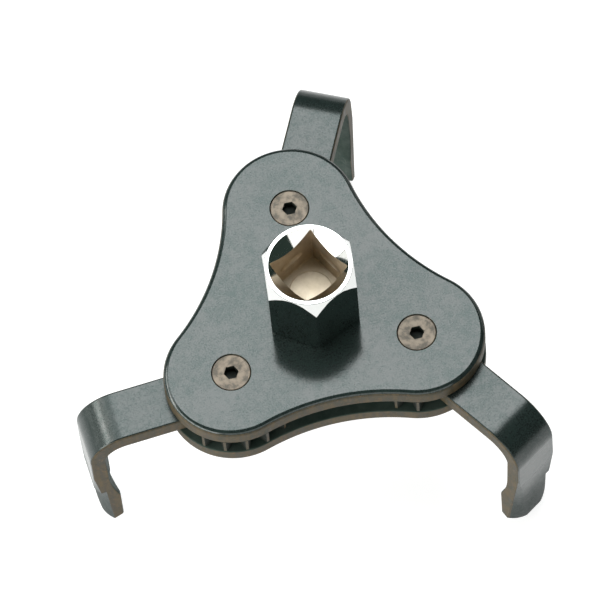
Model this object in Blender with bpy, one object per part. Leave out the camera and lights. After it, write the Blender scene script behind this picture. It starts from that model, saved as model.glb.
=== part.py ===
"""Two-way three-claw oil filter wrench.

A lobed housing of two plates carries a square-drive hub with a sun gear and three bent claws whose
round roots are gears in mesh with it, so turning the hub either way swings all three claws together.
The origin is the centre of the drive socket's floor, +Z out of the socket.
"""

import math

import bmesh
import bpy
from mathutils import Matrix, Vector

MM = 0.001
CLEARANCE = 0.3 * MM
UP = Vector((0, 0, 1))

# Gear train
GEAR_MODULE = 1.5 * MM
DEDENDUM = 1.25 * GEAR_MODULE
SUN_TEETH = 15
CLAW_TEETH = 19
PRESSURE_ANGLE = math.radians(25)
BACKLASH = 0.12 * MM
FLANK_STEPS = 3
SUN_PITCH = GEAR_MODULE * SUN_TEETH / 2
CLAW_PITCH = GEAR_MODULE * CLAW_TEETH / 2
PIVOT_RADIUS = SUN_PITCH + CLAW_PITCH
PIVOT_ANGLES = [math.radians(90 + 120 * k) for k in range(3)]
CLAW_SWING = math.radians(-25)

# Heights, from the socket's floor at zero down to the nuts
SOCKET_DEPTH = 14.2 * MM
HUB_STANDS = 21.5 * MM
TOP_FACE = SOCKET_DEPTH - HUB_STANDS
TOP_PLATE = 4.6 * MM
GEAR_SPACE = 5.4 * MM
BOTTOM_PLATE = 3.9 * MM
TOP_PLATE_BACK = TOP_FACE - TOP_PLATE
GEAR_TOP = TOP_PLATE_BACK - CLEARANCE
GEAR_BACK = TOP_PLATE_BACK - GEAR_SPACE + CLEARANCE
BOTTOM_PLATE_TOP = TOP_PLATE_BACK - GEAR_SPACE
BACK_FACE = BOTTOM_PLATE_TOP - BOTTOM_PLATE

# Housing
LOBE_RADIUS = 15.9 * MM
FLANK_RADIUS = 25.1 * MM
PLATE_EDGE = 1.3 * MM
SCREW_RADIUS = 2.5 * MM
SCREW_HEAD = 4.5 * MM
SLEEVE_RADIUS = 4.5 * MM
WASHER_THICKNESS = 1.1 * MM
NUT_THICKNESS = 2.7 * MM
NUT_FLATS = 8.0 * MM

# Hub
HUB_FLATS = 20.64 * MM
HUB_TURN = math.radians(-4)
SQUARE = 12.9 * MM
SQUARE_TURN = math.radians(30)
MOUTH_RADIUS = 9.3 * MM
RIM_RADIUS = 10.2 * MM
CHAMFER_DROP = 3.7 * MM
JOURNAL_RADIUS = 8.5 * MM
DRIVE_FLATS = 12.6 * MM
TAIL_RADIUS = 6.2 * MM
GROOVE_DEPTH = 0.8 * MM
RING_THICKNESS = 1.0 * MM
THRUST_THICKNESS = 0.8 * MM

# Claws
BAR_HALF_WIDTH = 6.1 * MM
TOE_SPREAD = 0.4 * MM
BAR_START = 22.0 * MM
BEND_REACH = 27.35 * MM
OUTER_BEND = 9.6 * MM
INNER_BEND = 5.4 * MM
LEG_OUTER = BEND_REACH + OUTER_BEND
LEG_INNER = 33.2 * MM
TOE_REACH = 31.2 * MM
NOSE_PULL = 1.3 * MM
CROWN_REACH = 35.95 * MM
TOE_HOLLOW_RADIUS = 12.0 * MM
TOE_HOLLOW_DEPTH = 1.2 * MM
TIP_HEIGHT = TOP_FACE - 48.6 * MM
TOE_HEIGHT = TOP_FACE - 45.6 * MM
TOE_LEDGE = TOP_FACE - 34.9 * MM


def material(name, colour, roughness, metallic):
    made = bpy.data.materials.new(name)
    made.use_nodes = True
    shader = made.node_tree.nodes["Principled BSDF"]
    shader.inputs["Base Color"].default_value = (*colour, 1)
    shader.inputs["Roughness"].default_value = roughness
    shader.inputs["Metallic"].default_value = metallic
    made.diffuse_color = (*colour, 1)
    return made


def place(name, mesh, look, parent=None):
    """A named object that shows the mesh, with curved stretches shaded smooth."""
    mesh.materials.clear()
    mesh.materials.append(look)
    mesh.shade_smooth()
    mesh.set_sharp_from_angle(angle=math.radians(30))
    piece = bpy.data.objects.new(name, mesh)
    bpy.context.collection.objects.link(piece)
    piece.parent = parent
    return piece


def mesh_from(form, name):
    bmesh.ops.recalc_face_normals(form, faces=form.faces)
    mesh = bpy.data.meshes.new(name)
    form.to_mesh(mesh)
    form.free()
    return mesh


def polar(radius, angle):
    return Vector((radius * math.cos(angle), radius * math.sin(angle)))


def arc(centre, radius, start, end, steps):
    return [centre + polar(radius, start + (end - start) * i / steps) for i in range(steps + 1)]


def regular(sides, flats, turn):
    """Corners of a polygon of that width across flats, with one flat facing the turn angle."""
    corner = flats / 2 / math.cos(math.pi / sides)
    return [polar(corner, turn + math.pi * (2 * i + 1) / sides) for i in range(sides)]


def prism(outline, low, high, top_edge=0.0):
    """An upright prism, its top edge rounded over where an edge width is given."""
    form = bmesh.new()
    base = form.faces.new([form.verts.new((*point, low)) for point in outline])
    grown = bmesh.ops.extrude_face_region(form, geom=[base])["geom"]
    top = [v for v in grown if isinstance(v, bmesh.types.BMVert)]
    bmesh.ops.translate(form, verts=top, vec=UP * (high - low))
    if top_edge:
        rim = [e for e in form.edges if all(v.co.z > (low + high) / 2 for v in e.verts)]
        bmesh.ops.bevel(form, geom=rim, offset=top_edge, segments=3, profile=0.5, affect="EDGES")
    return mesh_from(form, "prism")


def turned(profile, segments=48, closed=False):
    """A solid of revolution about Z; the profile's (radius, height) points run from axis to axis,
    or round a ring's section when closed."""
    form = bmesh.new()
    rings = []
    for radius, height in profile:
        if radius == 0:
            rings.append([form.verts.new((0, 0, height))])
            continue
        turns = [polar(radius, math.tau * i / segments) for i in range(segments)]
        rings.append([form.verts.new((*point, height)) for point in turns])
    pairs = list(zip(rings, rings[1:]))
    if closed:
        pairs.append((rings[-1], rings[0]))
    for first, second in pairs:
        for i in range(segments):
            j = (i + 1) % segments
            corners = [first[i % len(first)], first[j % len(first)]]
            corners += [second[j % len(second)], second[i % len(second)]]
            form.faces.new(list(dict.fromkeys(corners)))
    return mesh_from(form, "turned")


def ring(inner, outer, low, high, segments=48):
    section = [(inner, low), (outer, low), (outer, high), (inner, high)]
    return turned(section, segments, closed=True)


def drilled(radius, low, high, segments=32):
    return turned([(0, low), (radius, low), (radius, high), (0, high)], segments)


def box(west, east, south, north, low, high):
    return prism([(west, south), (east, south), (east, north), (west, north)], low, high)


def combined(mesh, operation, tools):
    """The mesh after one exact Boolean with each tool in turn."""
    body = bpy.data.objects.new("body", mesh)
    bpy.context.collection.objects.link(body)
    helpers = [body]
    for tool_mesh in tools:
        tool = bpy.data.objects.new("tool", tool_mesh)
        bpy.context.collection.objects.link(tool)
        helpers.append(tool)
        step = body.modifiers.new(operation, "BOOLEAN")
        step.operation = operation
        step.solver = "EXACT"
        step.object = tool
    graph = bpy.context.evaluated_depsgraph_get()
    result = bpy.data.meshes.new_from_object(body.evaluated_get(graph))
    for helper in helpers:
        bpy.data.objects.remove(helper)
    return result


def moved(mesh, shift):
    mesh.transform(Matrix.Translation(shift))
    return mesh


def pivot(index):
    return polar(PIVOT_RADIUS, PIVOT_ANGLES[index]).to_3d()


def joint(name, location, angle=0.0):
    """An empty that marks where a piece is carried and turns."""
    empty = bpy.data.objects.new(name, None)
    bpy.context.collection.objects.link(empty)
    empty.empty_display_size = 10 * MM
    empty.location = location
    empty.rotation_euler.z = angle
    return empty


def involute(radius, base):
    """Polar angle that an involute of the base circle has swept when it reaches the radius."""
    roll = math.sqrt(max((radius / base) ** 2 - 1, 0))
    return roll - math.atan(roll)


def tooth(teeth, centre):
    """Outline of one tooth, anticlockwise, from root to tip and back to root."""
    pitch = GEAR_MODULE * teeth / 2
    base = pitch * math.cos(PRESSURE_ANGLE)
    root = pitch - DEDENDUM
    tip = pitch + GEAR_MODULE
    half_at_pitch = math.pi / (2 * teeth) - BACKLASH / (2 * pitch)
    radii = [base + (tip - base) * i / FLANK_STEPS for i in range(FLANK_STEPS + 1)]
    halves = [half_at_pitch + involute(pitch, base) - involute(r, base) for r in radii]
    side = [(root, halves[0]), *zip(radii, halves)]
    rising = [polar(radius, centre - half) for radius, half in side]
    falling = [polar(radius, centre + half) for radius, half in reversed(side)]
    return rising + falling


def lobed_outline():
    """Three convex lobes round the pivots, joined by concave flanks tangent to them."""
    spread = FLANK_RADIUS**2 + PIVOT_RADIUS**2 - FLANK_RADIUS * PIVOT_RADIUS - LOBE_RADIUS**2
    hollow = spread / (2 * LOBE_RADIUS + PIVOT_RADIUS - 2 * FLANK_RADIUS)
    reach = FLANK_RADIUS + hollow
    seen = polar(reach, math.radians(60)) - Vector((PIVOT_RADIUS, 0))
    lobe_half = math.atan2(seen.y, seen.x)
    flank_half = lobe_half - math.radians(60)
    points = []
    for angle in PIVOT_ANGLES:
        lobe = polar(PIVOT_RADIUS, angle)
        points += arc(lobe, LOBE_RADIUS, angle - lobe_half, angle + lobe_half, 20)
        middle = angle + math.radians(60)
        back = middle + math.pi
        points += arc(polar(reach, middle), hollow, back + flank_half, back - flank_half, 8)[1:-1]
    return points


def countersink():
    """Cutter for a pivot screw's hole in the top plate."""
    wide = SCREW_HEAD + CLEARANCE
    narrow = SCREW_RADIUS + CLEARANCE
    straight = TOP_FACE - 0.4 * MM
    beyond = 2 * MM
    return turned(
        [
            (0, TOP_PLATE_BACK - beyond),
            (narrow, TOP_PLATE_BACK - beyond),
            (narrow, straight - (wide - narrow)),
            (wide, straight),
            (wide, TOP_FACE + beyond),
            (0, TOP_FACE + beyond),
        ],
        32,
    )


def housing(steel):
    outline = lobed_outline()
    beyond = 2 * MM
    top = prism(outline, TOP_PLATE_BACK, TOP_FACE, PLATE_EDGE)
    bore = drilled(JOURNAL_RADIUS + CLEARANCE, TOP_PLATE_BACK - beyond, TOP_FACE + beyond, 48)
    sinks = [moved(countersink(), pivot(k)) for k in range(3)]
    place("top_plate", combined(top, "DIFFERENCE", [bore, *sinks]), steel)
    bottom = prism(outline, BACK_FACE, BOTTOM_PLATE_TOP)
    low, high = BACK_FACE - beyond, BOTTOM_PLATE_TOP + beyond
    bore = drilled(TAIL_RADIUS + CLEARANCE, low, high, 48)
    holes = [moved(drilled(SCREW_RADIUS + CLEARANCE, low, high), pivot(k)) for k in range(3)]
    place("bottom_plate", combined(bottom, "DIFFERENCE", [bore, *holes]), steel)


def screw_mesh():
    """Countersunk screw with a hexagon socket."""
    head_top = TOP_FACE - 0.15 * MM
    head_side = 0.5 * MM
    tip = BACK_FACE - 2 * CLEARANCE - WASHER_THICKNESS - NUT_THICKNESS - 1.2 * MM
    point = 0.6 * MM
    body = turned(
        [
            (0, tip),
            (SCREW_RADIUS - point, tip),
            (SCREW_RADIUS, tip + point),
            (SCREW_RADIUS, head_top - head_side - (SCREW_HEAD - SCREW_RADIUS)),
            (SCREW_HEAD, head_top - head_side),
            (SCREW_HEAD, head_top),
            (0, head_top),
        ],
        32,
    )
    socket = prism(regular(6, 3.0 * MM, 0), head_top - 2.2 * MM, head_top + 1 * MM)
    return combined(body, "DIFFERENCE", [socket])


def sleeve_mesh():
    """Hardened sleeve that a claw's root turns on."""
    bore = SCREW_RADIUS + CLEARANCE
    return ring(bore, SLEEVE_RADIUS, GEAR_BACK, GEAR_TOP, 32)


def lock_washer_mesh():
    """Split spring washer, cut through by a slanted slot."""
    high = BACK_FACE - CLEARANCE
    low = high - WASHER_THICKNESS
    outer = 4.5 * MM
    half_slot = 0.35 * MM
    slant = math.radians(30)
    slot = box(0, 2 * outer, -half_slot, half_slot, -2 * MM, 2 * MM)
    slot.transform(Matrix.Rotation(slant, 4, "X"))
    washer = ring(SCREW_RADIUS + CLEARANCE, outer, low, high, 32)
    return combined(washer, "DIFFERENCE", [moved(slot, UP * (low + high) / 2)])


def nut_mesh():
    """Thin hexagon nut with chamfered corners."""
    high = BACK_FACE - 2 * CLEARANCE - WASHER_THICKNESS
    low = high - NUT_THICKNESS
    flat = NUT_FLATS / 2
    corner = flat / math.cos(math.pi / 6)
    drop = 0.4 * MM
    blank = turned(
        [
            (SCREW_RADIUS + CLEARANCE, low),
            (flat, low),
            (corner, low + drop),
            (corner + drop, low + drop),
            (corner + drop, high - drop),
            (corner, high - drop),
            (flat, high),
            (SCREW_RADIUS + CLEARANCE, high),
        ],
        32,
        closed=True,
    )
    hexagon = prism(regular(6, NUT_FLATS, 0), low - MM, high + MM)
    return combined(blank, "INTERSECT", [hexagon])


def fasteners(zinc, hardened):
    kinds = {
        "pivot_screw": (screw_mesh(), zinc),
        "pivot_sleeve": (sleeve_mesh(), hardened),
        "lock_washer": (lock_washer_mesh(), zinc),
        "pivot_nut": (nut_mesh(), zinc),
    }
    for index in range(3):
        carrier = joint(f"pivot_axis_{index + 1}", pivot(index), PIVOT_ANGLES[index])
        for kind, (mesh, look) in kinds.items():
            place(f"{kind}_{index + 1}", mesh, look, carrier)


def hub_mesh():
    """Chamfered hexagon head over a journal, a drive hexagon for the sun gear and a grooved tail."""
    corner = HUB_FLATS / 2 / math.cos(math.pi / 6)
    low = TOP_FACE + CLEARANCE
    foot = 0.4 * MM
    beyond = 0.5 * MM
    blank = turned(
        [
            (0, low),
            (corner - foot, low),
            (corner + beyond, low + foot + beyond),
            (corner + beyond, SOCKET_DEPTH - CHAMFER_DROP),
            (corner, SOCKET_DEPTH - CHAMFER_DROP),
            (RIM_RADIUS, SOCKET_DEPTH),
            (0, SOCKET_DEPTH),
        ],
        72,
    )
    hexagon = prism(regular(6, HUB_FLATS, HUB_TURN), low - 2 * MM, SOCKET_DEPTH + 2 * MM)
    head = combined(blank, "INTERSECT", [hexagon])
    ring_top = BACK_FACE - 2 * CLEARANCE - THRUST_THICKNESS
    groove_low = ring_top - 2 * CLEARANCE - RING_THICKNESS
    tail_end = groove_low - 1.2 * MM
    chamfer = 0.5 * MM
    shaft = turned(
        [
            (0, tail_end),
            (TAIL_RADIUS - chamfer, tail_end),
            (TAIL_RADIUS, tail_end + chamfer),
            (TAIL_RADIUS, groove_low),
            (TAIL_RADIUS - GROOVE_DEPTH, groove_low),
            (TAIL_RADIUS - GROOVE_DEPTH, ring_top),
            (TAIL_RADIUS, ring_top),
            (TAIL_RADIUS, TOP_PLATE_BACK),
            (JOURNAL_RADIUS, TOP_PLATE_BACK),
            (JOURNAL_RADIUS, low + 2 * MM),
            (0, low + 2 * MM),
        ]
    )
    drive = prism(regular(6, DRIVE_FLATS, HUB_TURN), GEAR_BACK, TOP_PLATE_BACK + 1 * MM)
    solid = combined(head, "UNION", [shaft, drive])
    square = prism(regular(4, SQUARE, SQUARE_TURN), 0, SOCKET_DEPTH + 2 * MM)
    lip = SQUARE / 2 - 1 * MM
    mouth_low = SOCKET_DEPTH - (MOUTH_RADIUS - lip)
    mouth = turned(
        [
            (0, mouth_low),
            (lip, mouth_low),
            (MOUTH_RADIUS, SOCKET_DEPTH),
            (MOUTH_RADIUS, SOCKET_DEPTH + 1 * MM),
            (0, SOCKET_DEPTH + 1 * MM),
        ],
        72,
    )
    # The groove that the driver's spring ball snaps into
    deep, shallow = 7.3 * MM, 6.1 * MM
    middle, half_floor, half_mouth = 5.6 * MM, 0.5 * MM, 1.4 * MM
    detent = turned(
        [
            (0, middle - half_mouth),
            (shallow, middle - half_mouth),
            (deep, middle - half_floor),
            (deep, middle + half_floor),
            (shallow, middle + half_mouth),
            (0, middle + half_mouth),
        ]
    )
    return combined(solid, "DIFFERENCE", [square, mouth, detent])


def sun_gear_mesh():
    """Sun gear, its teeth set to mesh with the claws as they stand at rest."""
    pitch_angle = math.tau / SUN_TEETH
    space = PIVOT_ANGLES[0] - CLAW_SWING * CLAW_TEETH / SUN_TEETH
    first = space + pitch_angle / 2
    outline = [p for k in range(SUN_TEETH) for p in tooth(SUN_TEETH, first + k * pitch_angle)]
    gear = prism(outline, GEAR_BACK, GEAR_TOP)
    bore = prism(regular(6, DRIVE_FLATS + 2 * CLEARANCE, HUB_TURN), GEAR_BACK - MM, GEAR_TOP + MM)
    return combined(gear, "DIFFERENCE", [bore])


def thrust_washer_mesh():
    high = BACK_FACE - CLEARANCE
    low = high - THRUST_THICKNESS
    return ring(TAIL_RADIUS + CLEARANCE, 10.5 * MM, low, high)


def retaining_ring_mesh():
    """External snap ring: an eccentric open ring with two eyed ears."""
    high = BACK_FACE - 3 * CLEARANCE - THRUST_THICKNESS
    low = high - RING_THICKNESS
    band = ring(TAIL_RADIUS - GROOVE_DEPTH + CLEARANCE, 8.2 * MM, low, high)
    ear_inset = 0.05 * MM
    ears = []
    eyes = []
    for side in (-1, 1):
        angle = math.radians(-90 + side * 17)
        ear = drilled(1.7 * MM, low + ear_inset, high - ear_inset, 24)
        ears.append(moved(ear, polar(8.5 * MM, angle).to_3d()))
        eye = drilled(0.8 * MM, low - MM, high + MM, 16)
        eyes.append(moved(eye, polar(8.7 * MM, angle).to_3d()))
    half_gap = 1.1 * MM
    gap = box(-half_gap, half_gap, -14 * MM, 0, low - MM, high + MM)
    return combined(combined(band, "UNION", ears), "DIFFERENCE", [gap, *eyes])


def drive_train(chrome, hardened, zinc):
    axis = joint("hub_axis", (0, 0, 0))
    place("drive_hub", hub_mesh(), chrome, axis)
    place("sun_gear", sun_gear_mesh(), hardened, axis)
    place("thrust_washer", thrust_washer_mesh(), zinc, axis)
    place("retaining_ring", retaining_ring_mesh(), hardened, axis)


def claw_root():
    """Gear outline that opens into the bar: teeth all round but where the bar leaves."""
    step = math.tau / CLAW_TEETH
    root = CLAW_PITCH - DEDENDUM
    neck = math.sqrt(root**2 - BAR_HALF_WIDTH**2)
    half_opening = math.radians(36)
    points = [Vector((BAR_START, BAR_HALF_WIDTH)), Vector((neck, BAR_HALF_WIDTH))]
    points.append(polar(root, half_opening))
    for k in range(-7, 8):
        points += tooth(CLAW_TEETH, math.pi + k * step)
    points.append(polar(root, -half_opening))
    points += [Vector((neck, -BAR_HALF_WIDTH)), Vector((BAR_START, -BAR_HALF_WIDTH))]
    return points


def claw_sections():
    """Pairs of (outer, inner) side points, each (reach, height), from the bar's end to the nose."""
    outer = arc(Vector((BEND_REACH, GEAR_TOP - OUTER_BEND)), OUTER_BEND, math.pi / 2, 0, 8)
    inner_centre = Vector((LEG_INNER - INNER_BEND, GEAR_BACK - INNER_BEND))
    inner = arc(inner_centre, INNER_BEND, math.pi / 2, 0, 8)
    straight_to = TOP_FACE - 31 * MM
    fall = straight_to - TIP_HEIGHT
    steps = 6
    for i in range(steps + 1):
        share = i / steps
        outer.append(Vector((LEG_OUTER - NOSE_PULL * share**2, straight_to - fall * share)))
    ramp_from = TOP_FACE - 24 * MM
    for i in range(steps):
        share = i / (steps - 1)
        reach = LEG_INNER - (LEG_INNER - TOE_REACH) * share**2
        inner.append(Vector((reach, ramp_from + (TOE_LEDGE - ramp_from) * share)))
    inner.append(Vector((TOE_REACH, TOE_HEIGHT)))
    return list(zip(outer, inner))


def half_width(height):
    """The leg spreads a little from under the bend to the tip."""
    bend_end = GEAR_TOP - OUTER_BEND
    share = (bend_end - height) / (bend_end - TIP_HEIGHT)
    return BAR_HALF_WIDTH + TOE_SPREAD * max(0.0, share)


def claw_blank():
    """Gear root, bar, bend and leg in one skin: the root is a plate, the rest a loft of sections."""
    form = bmesh.new()
    outline = claw_root()
    top = [form.verts.new((*point, GEAR_TOP)) for point in outline]
    bottom = [form.verts.new((*point, GEAR_BACK)) for point in outline]
    form.faces.new(top)
    form.faces.new(bottom)
    for i in range(len(outline) - 1):
        form.faces.new((top[i], top[i + 1], bottom[i + 1], bottom[i]))
    last = [top[0], top[-1], bottom[-1], bottom[0]]
    for outer, inner in claw_sections():
        corners = [(outer, 1), (outer, -1), (inner, -1), (inner, 1)]
        loop = [form.verts.new((p.x, side * half_width(p.y), p.y)) for p, side in corners]
        for i in range(4):
            j = (i + 1) % 4
            form.faces.new((last[i], last[j], loop[j], loop[i]))
        last = loop
    form.faces.new(last)
    return mesh_from(form, "claw")


def crown_cutter(side, crown, lean, height, across=False):
    """Block with a hollow quarter face that rounds one side of the leg's outer face. It leans away
    from the leg, so the rounding grows towards the nose, and it ends at the height above the nose.
    A cutter across the leg also takes a flat cut off the other side."""
    wide = 8.0 * MM
    past_middle = 0 if across else math.radians(3)
    half = math.asin(wide / crown)
    outline = [Vector((0, -side * wide))] if across else []
    outline += arc(Vector((-crown, 0)), crown, -side * past_middle, side * half, 8)
    far = 8.0 * MM
    outline += [Vector((far, side * wide)), Vector((far, outline[0].y))]
    block = prism(outline, -4 * MM, height)
    nose_crest = Vector((CROWN_REACH, 0, TIP_HEIGHT))
    block.transform(Matrix.Translation(nose_crest) @ Matrix.Rotation(lean, 4, "Y"))
    return block


def toe_hollow():
    """Upright cylinder that hollows the toe's gripping face and leaves a flat land at each side."""
    hollow = drilled(TOE_HOLLOW_RADIUS, TIP_HEIGHT - 2 * MM, TOP_FACE - 20 * MM, 64)
    axis_reach = TOE_REACH + TOE_HOLLOW_DEPTH - TOE_HOLLOW_RADIUS
    return moved(hollow, Vector((axis_reach, 0, 0)))


def claws(steel):
    bore = drilled(SLEEVE_RADIUS + CLEARANCE, GEAR_BACK - MM, GEAR_TOP + MM)
    crowns = [
        crown_cutter(-1, 8.5 * MM, math.radians(7), 34 * MM),
        crown_cutter(1, 10.0 * MM, math.radians(6.5), 33 * MM),
        crown_cutter(1, 10.0 * MM, math.radians(2.4), 17.2 * MM, across=True),
    ]
    mesh = combined(claw_blank(), "DIFFERENCE", [bore, toe_hollow(), *crowns])
    for index in range(3):
        swing = PIVOT_ANGLES[index] + CLAW_SWING
        axis = joint(f"claw_axis_{index + 1}", pivot(index), swing)
        place(f"claw_{index + 1}", mesh, steel, axis)


def main():
    for old in list(bpy.data.objects):
        bpy.data.objects.remove(old)
    black_oxide = material("black_oxide_steel", (0.16, 0.18, 0.17), 0.38, 0.6)
    chrome = material("chrome", (0.75, 0.76, 0.76), 0.08, 1.0)
    zinc = material("plain_steel", (0.55, 0.49, 0.40), 0.42, 0.9)
    hardened = material("hardened_steel", (0.33, 0.33, 0.32), 0.35, 0.9)
    housing(black_oxide)
    fasteners(zinc, hardened)
    drive_train(chrome, hardened, zinc)
    claws(black_oxide)


main()
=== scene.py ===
"""Looks of a two-way three-claw oil filter wrench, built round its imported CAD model.

Lengths are in metres. The origin is the centre of the drive socket's floor, +Z out of the socket.
"""

import math

import bmesh
import bpy
from mathutils import Matrix, Vector


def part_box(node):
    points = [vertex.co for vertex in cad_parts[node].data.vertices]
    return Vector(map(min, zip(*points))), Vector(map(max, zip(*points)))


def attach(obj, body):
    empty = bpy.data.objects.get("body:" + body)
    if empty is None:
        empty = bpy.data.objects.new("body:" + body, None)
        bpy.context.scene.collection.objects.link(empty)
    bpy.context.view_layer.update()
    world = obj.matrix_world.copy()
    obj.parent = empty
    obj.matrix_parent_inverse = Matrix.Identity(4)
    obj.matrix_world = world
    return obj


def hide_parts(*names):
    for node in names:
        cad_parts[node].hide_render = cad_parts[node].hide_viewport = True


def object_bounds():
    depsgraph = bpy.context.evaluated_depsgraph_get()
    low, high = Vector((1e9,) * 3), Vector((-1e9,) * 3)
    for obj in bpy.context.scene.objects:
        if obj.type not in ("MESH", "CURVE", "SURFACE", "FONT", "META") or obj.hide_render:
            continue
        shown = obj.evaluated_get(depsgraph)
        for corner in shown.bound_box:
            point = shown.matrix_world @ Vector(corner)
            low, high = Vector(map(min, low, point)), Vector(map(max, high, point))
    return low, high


MM = 0.001
CLEARANCE = 0.3 * MM
UP = Vector((0, 0, 1))

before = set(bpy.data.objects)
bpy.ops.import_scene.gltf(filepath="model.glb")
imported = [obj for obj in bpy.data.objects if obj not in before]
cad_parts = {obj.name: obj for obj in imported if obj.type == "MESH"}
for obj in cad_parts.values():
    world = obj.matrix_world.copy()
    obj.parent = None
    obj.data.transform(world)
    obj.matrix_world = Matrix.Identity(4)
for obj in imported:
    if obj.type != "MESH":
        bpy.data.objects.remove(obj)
cad_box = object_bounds()

# Heights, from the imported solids
TOP_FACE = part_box("top_plate")[1].z
TOP_PLATE_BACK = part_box("top_plate")[0].z
LOWER_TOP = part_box("bottom_plate")[1].z
BACK_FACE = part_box("bottom_plate")[0].z
GEAR_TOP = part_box("sun_gear")[1].z
GEAR_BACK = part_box("sun_gear")[0].z
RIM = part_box("drive_hub")[1].z
TAIL_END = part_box("drive_hub")[0].z
FLOOR = cad_box[0].z

# Gear train
GEAR_MODULE = 1.5 * MM
SUN_TEETH = 15
CLAW_TEETH = 19
DEDENDUM = 1.25 * GEAR_MODULE
PRESSURE_ANGLE = math.radians(25)
BACKLASH = 0.12 * MM
CLAW_PITCH = GEAR_MODULE * CLAW_TEETH / 2
PIVOT_RADIUS = GEAR_MODULE * (SUN_TEETH + CLAW_TEETH) / 2
PIVOT_ANGLES = [math.radians(90 + 120 * k) for k in range(3)]
CLAW_SWING = math.radians(-25)

# Housing and fasteners
LOBE_RADIUS = 15.9 * MM
FLANK_RADIUS = 25.1 * MM
SCREW_RADIUS = 2.5 * MM
SCREW_HEAD = 4.5 * MM
THREAD_PITCH = 0.8 * MM
SLEEVE_RADIUS = 4.5 * MM
NUT_FLATS = 8.0 * MM

# Hub
HUB_FLATS = 20.64 * MM
HUB_TURN = math.radians(-4)
SQUARE = 12.9 * MM
SQUARE_TURN = math.radians(30)
MOUTH_RADIUS = 9.3 * MM
RIM_RADIUS = 10.2 * MM
CHAMFER_DROP = 3.7 * MM
JOURNAL_RADIUS = 8.5 * MM
DRIVE_FLATS = 12.6 * MM
TAIL_RADIUS = 6.2 * MM
GROOVE_DEPTH = 0.8 * MM

# Claws, in a frame with X along the bar from the pivot
BAR_HALF_WIDTH = 6.1 * MM
TOE_SPREAD = 0.4 * MM
BEND_REACH = 27.35 * MM
OUTER_BEND = 9.6 * MM
INNER_BEND = 5.4 * MM
LEG_OUTER = BEND_REACH + OUTER_BEND
LEG_INNER = 33.2 * MM
TOE_REACH = 31.2 * MM
NOSE_PULL = 1.3 * MM
CROWN_REACH = 35.95 * MM
TOE_HOLLOW_RADIUS = 12.0 * MM
TOE_HOLLOW_DEPTH = 1.2 * MM
TIP_HEIGHT = TOP_FACE - 48.6 * MM
TOE_HEIGHT = TOP_FACE - 45.6 * MM
TOE_LEDGE = TOP_FACE - 34.9 * MM

# Edges that turn by more than this are rounded, or kept sharp on a piece without rounding
ROUNDED_ANGLE = math.radians(32)
SHARP_ANGLE = math.radians(15)

# Places in a blackened piece's list of looks, where place 3 is for the rounded edges
FACE_LOOK = 0
SHEARED_LOOK = 1
MATTE_LOOK = 2
# Place 4 is the near-black look that paints shade on the teeth's flanks and the bore.
PAINTED_SHADE_LOOK = 4


# ---------------------------------------------------------------- shapes


def polar(radius, angle):
    return Vector((radius * math.cos(angle), radius * math.sin(angle)))


def arc(centre, radius, start, end, steps):
    return [centre + polar(radius, start + (end - start) * i / steps) for i in range(steps + 1)]


def mesh_from(form, name):
    bmesh.ops.recalc_face_normals(form, faces=form.faces)
    mesh = bpy.data.meshes.new(name)
    form.to_mesh(mesh)
    form.free()
    return mesh


def loft(rings, second_look_from=None):
    """A closed skin through rings of equally many points, capped at both ends. Faces past the ring
    of that number take the second look."""
    form = bmesh.new()
    made = [[form.verts.new(point) for point in ring] for ring in rings]
    count = len(made[0])
    faces = [form.faces.new(made[0])]
    for first, second in zip(made, made[1:]):
        for i in range(count):
            j = (i + 1) % count
            faces.append(form.faces.new((first[i], first[j], second[j], second[i])))
    faces.append(form.faces.new(made[-1]))
    if second_look_from is not None:
        for face in faces[1 + second_look_from * count :]:
            face.material_index = 1
    return mesh_from(form, "loft")


def prism(outline, low, high):
    return loft([[Vector((*p, low)) for p in outline], [Vector((*p, high)) for p in outline]])


def rounded_polygon(sides, flats, turn, corner, steps=5):
    """A regular polygon with round corners, one flat facing the turn angle."""
    reach = (flats / 2 - corner) / math.cos(math.pi / sides)
    points = []
    for i in range(sides):
        middle = turn + math.pi * (2 * i + 1) / sides
        half = math.pi / sides
        points += arc(polar(reach, middle), corner, middle - half, middle + half, steps)
    return points


def polygon_radius(sides, flats, turn, corner):
    """The same polygon as a distance from its centre in each direction."""
    flat = flats / 2
    half = math.pi / sides
    reach = (flat - corner) / math.cos(half)
    tangent = math.atan2((flat - corner) * math.tan(half), flat)

    def radius(angle):
        off = abs((angle - turn + half) % (2 * half) - half)
        if off < tangent:
            return flat / math.cos(off)
        aside = reach * math.sin(half - off)
        return reach * math.cos(half - off) + math.sqrt(max(corner**2 - aside**2, 0))

    return radius


def turned(profile, segments, closed=False):
    """A solid of revolution about Z, its (radius, height) profile running from axis to axis, or
    round a ring's section when closed."""
    form = bmesh.new()
    rings = []
    for radius, height in profile:
        if radius == 0:
            rings.append([form.verts.new((0, 0, height))])
            continue
        turns = [polar(radius, math.tau * i / segments) for i in range(segments)]
        rings.append([form.verts.new((*point, height)) for point in turns])
    pairs = list(zip(rings, rings[1:]))
    if closed:
        pairs.append((rings[-1], rings[0]))
    for first, second in pairs:
        for i in range(segments):
            j = (i + 1) % segments
            corners = [first[i % len(first)], first[j % len(first)]]
            corners += [second[j % len(second)], second[i % len(second)]]
            form.faces.new(list(dict.fromkeys(corners)))
    return mesh_from(form, "turned")


def ring(inner, outer, low, high, segments=64):
    section = [(inner, low), (outer, low), (outer, high), (inner, high)]
    return turned(section, segments, closed=True)


def drilled(radius, low, high, segments=64):
    return turned([(0, low), (radius, low), (radius, high), (0, high)], segments)


def box(west, east, south, north, low, high):
    return prism([(west, south), (east, south), (east, north), (west, north)], low, high)


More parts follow.
